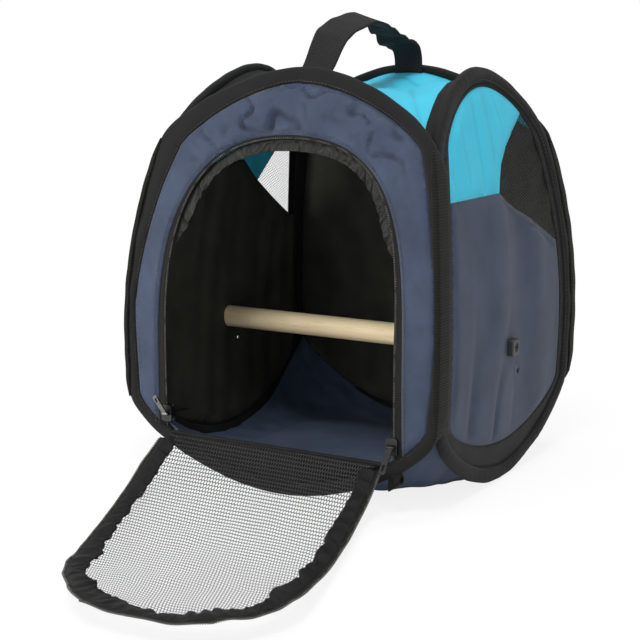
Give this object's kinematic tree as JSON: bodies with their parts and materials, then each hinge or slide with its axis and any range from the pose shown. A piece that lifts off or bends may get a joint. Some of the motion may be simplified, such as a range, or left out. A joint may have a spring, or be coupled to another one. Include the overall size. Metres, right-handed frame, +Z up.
{
  "type": "bird travel carrier",
  "caption": "Soft pop-up fabric carrier for a small bird, with sprung hoops, a zipped mesh door flap, side mesh windows, a wooden perch and a webbing carry handle.",
  "frame": {"origin": "middle of the level part of the floor's underside, where the carrier stands", "axes": "+Z up, -Y towards the door, +X towards the carrier's right side seen from inside looking at the back"},
  "size_m": [0.2752, 0.4901, 0.3923],
  "materials": {
    "hoop_strips": "sprung steel strip",
    "front_hoop_sleeve": "padded woven binding",
    "back_hoop_sleeve": "padded woven binding",
    "right_hoop_sleeve": "padded woven binding",
    "left_hoop_sleeve": "padded woven binding",
    "front_panel": "coated nylon cloth",
    "front_base_band": "coated nylon cloth",
    "front_lining": "woven lining",
    "zip_tape": "woven zip tape",
    "zip_chain": "moulded zip teeth",
    "arch_lip": "gathered binding",
    "back_panel": "coated nylon cloth",
    "back_lining": "woven lining",
    "right_side_band": "coated nylon cloth",
    "right_blue_panel": "coated nylon cloth",
    "right_mesh_window": "open net",
    "right_navy_panel": "coated nylon cloth",
    "right_lining": "woven lining",
    "left_side_band": "coated nylon cloth",
    "left_blue_panel": "coated nylon cloth",
    "left_mesh_window": "open net",
    "left_navy_panel": "coated nylon cloth",
    "left_lining": "woven lining",
    "corner_tapes": "ribbed grosgrain tape",
    "roof": "coated nylon cloth",
    "floor_cloth": "coated nylon cloth",
    "floor_mat": "padded cloth mat",
    "perch": "turned dowel",
    "perch_caps": "moulded cap",
    "perch_screws": "plated steel",
    "handle": "ribbed webbing",
    "door_hem": "rolled hem",
    "door_mesh": "open net",
    "door_border": "folded binding",
    "door_zip_tape": "zip tape and teeth",
    "right_slider": "painted slider",
    "left_slider": "painted slider",
    "left_outer_pull": "plated metal",
    "right_outer_pull": "painted metal",
    "left_inner_pull": "painted metal",
    "right_inner_pull": "painted metal"
  },
  "bodies": {
    "shell": {"hoop_strips": "hoop_strips", "front_hoop_sleeve": "front_hoop_sleeve", "back_hoop_sleeve": "back_hoop_sleeve", "right_hoop_sleeve": "right_hoop_sleeve", "left_hoop_sleeve": "left_hoop_sleeve", "front_panel": "front_panel", "front_base_band": "front_base_band", "front_lining": "front_lining", "zip_tape": "zip_tape", "zip_chain": "zip_chain", "arch_lip": "arch_lip", "back_panel": "back_panel", "back_lining": "back_lining", "right_side_band": "right_side_band", "right_blue_panel": "right_blue_panel", "right_mesh_window": "right_mesh_window", "right_navy_panel": "right_navy_panel", "right_lining": "right_lining", "left_side_band": "left_side_band", "left_blue_panel": "left_blue_panel", "left_mesh_window": "left_mesh_window", "left_navy_panel": "left_navy_panel", "left_lining": "left_lining", "corner_tapes": "corner_tapes", "roof": "roof", "floor_cloth": "floor_cloth", "floor_mat": "floor_mat", "perch": "perch", "perch_caps": "perch_caps", "perch_screws": "perch_screws"},
    "door": {"door_hem": "door_hem", "door_mesh": "door_mesh", "door_border": "door_border", "door_zip_tape": "door_zip_tape"},
    "handle": {"handle": "handle"},
    "right_slider": {"right_slider": "right_slider"},
    "left_slider": {"left_slider": "left_slider"},
    "left_outer_pull": {"left_outer_pull": "left_outer_pull"},
    "right_outer_pull": {"right_outer_pull": "right_outer_pull"},
    "left_inner_pull": {"left_inner_pull": "left_inner_pull"},
    "right_inner_pull": {"right_inner_pull": "right_inner_pull"}
  },
  "joints": [
    {"name": "door_hinge", "type": "hinge", "parent": "shell", "child": "door", "pos_m": [0, -0.13211, 0.037], "axis": [-1, 0, 0], "range_deg": [-35, 111]},
    {"name": "handle_flop", "type": "hinge", "parent": "shell", "child": "handle", "pos_m": [0, 0, 0.326], "axis": [0, 1, 0], "range_deg": [-75, 75]},
    {"name": "right_slider_run", "type": "slide", "parent": "shell", "child": "right_slider", "axis": [0, -0.0243, 0.9997], "range_m": [0, 0.06]},
    {"name": "left_slider_run", "type": "slide", "parent": "shell", "child": "left_slider", "axis": [0, -0.0243, 0.9997], "range_m": [0, 0.06]},
    {"name": "left_outer_pull_swing", "type": "hinge", "parent": "left_slider", "child": "left_outer_pull", "pos_m": [-0.09885, -0.13552, 0.05138], "axis": [-1, 0, 0], "range_deg": [-137, 33]},
    {"name": "right_outer_pull_swing", "type": "hinge", "parent": "right_slider", "child": "right_outer_pull", "pos_m": [0.09885, -0.13552, 0.05138], "axis": [-1, 0, 0], "range_deg": [-37, 133]},
    {"name": "left_inner_pull_swing", "type": "hinge", "parent": "left_slider", "child": "left_inner_pull", "pos_m": [-0.09885, -0.12592, 0.05162], "axis": [1, 0, 0], "range_deg": [-30, 92]},
    {"name": "right_inner_pull_swing", "type": "hinge", "parent": "right_slider", "child": "right_inner_pull", "pos_m": [0.09885, -0.12592, 0.05162], "axis": [1, 0, 0], "range_deg": [-30, 92]}
  ]
}
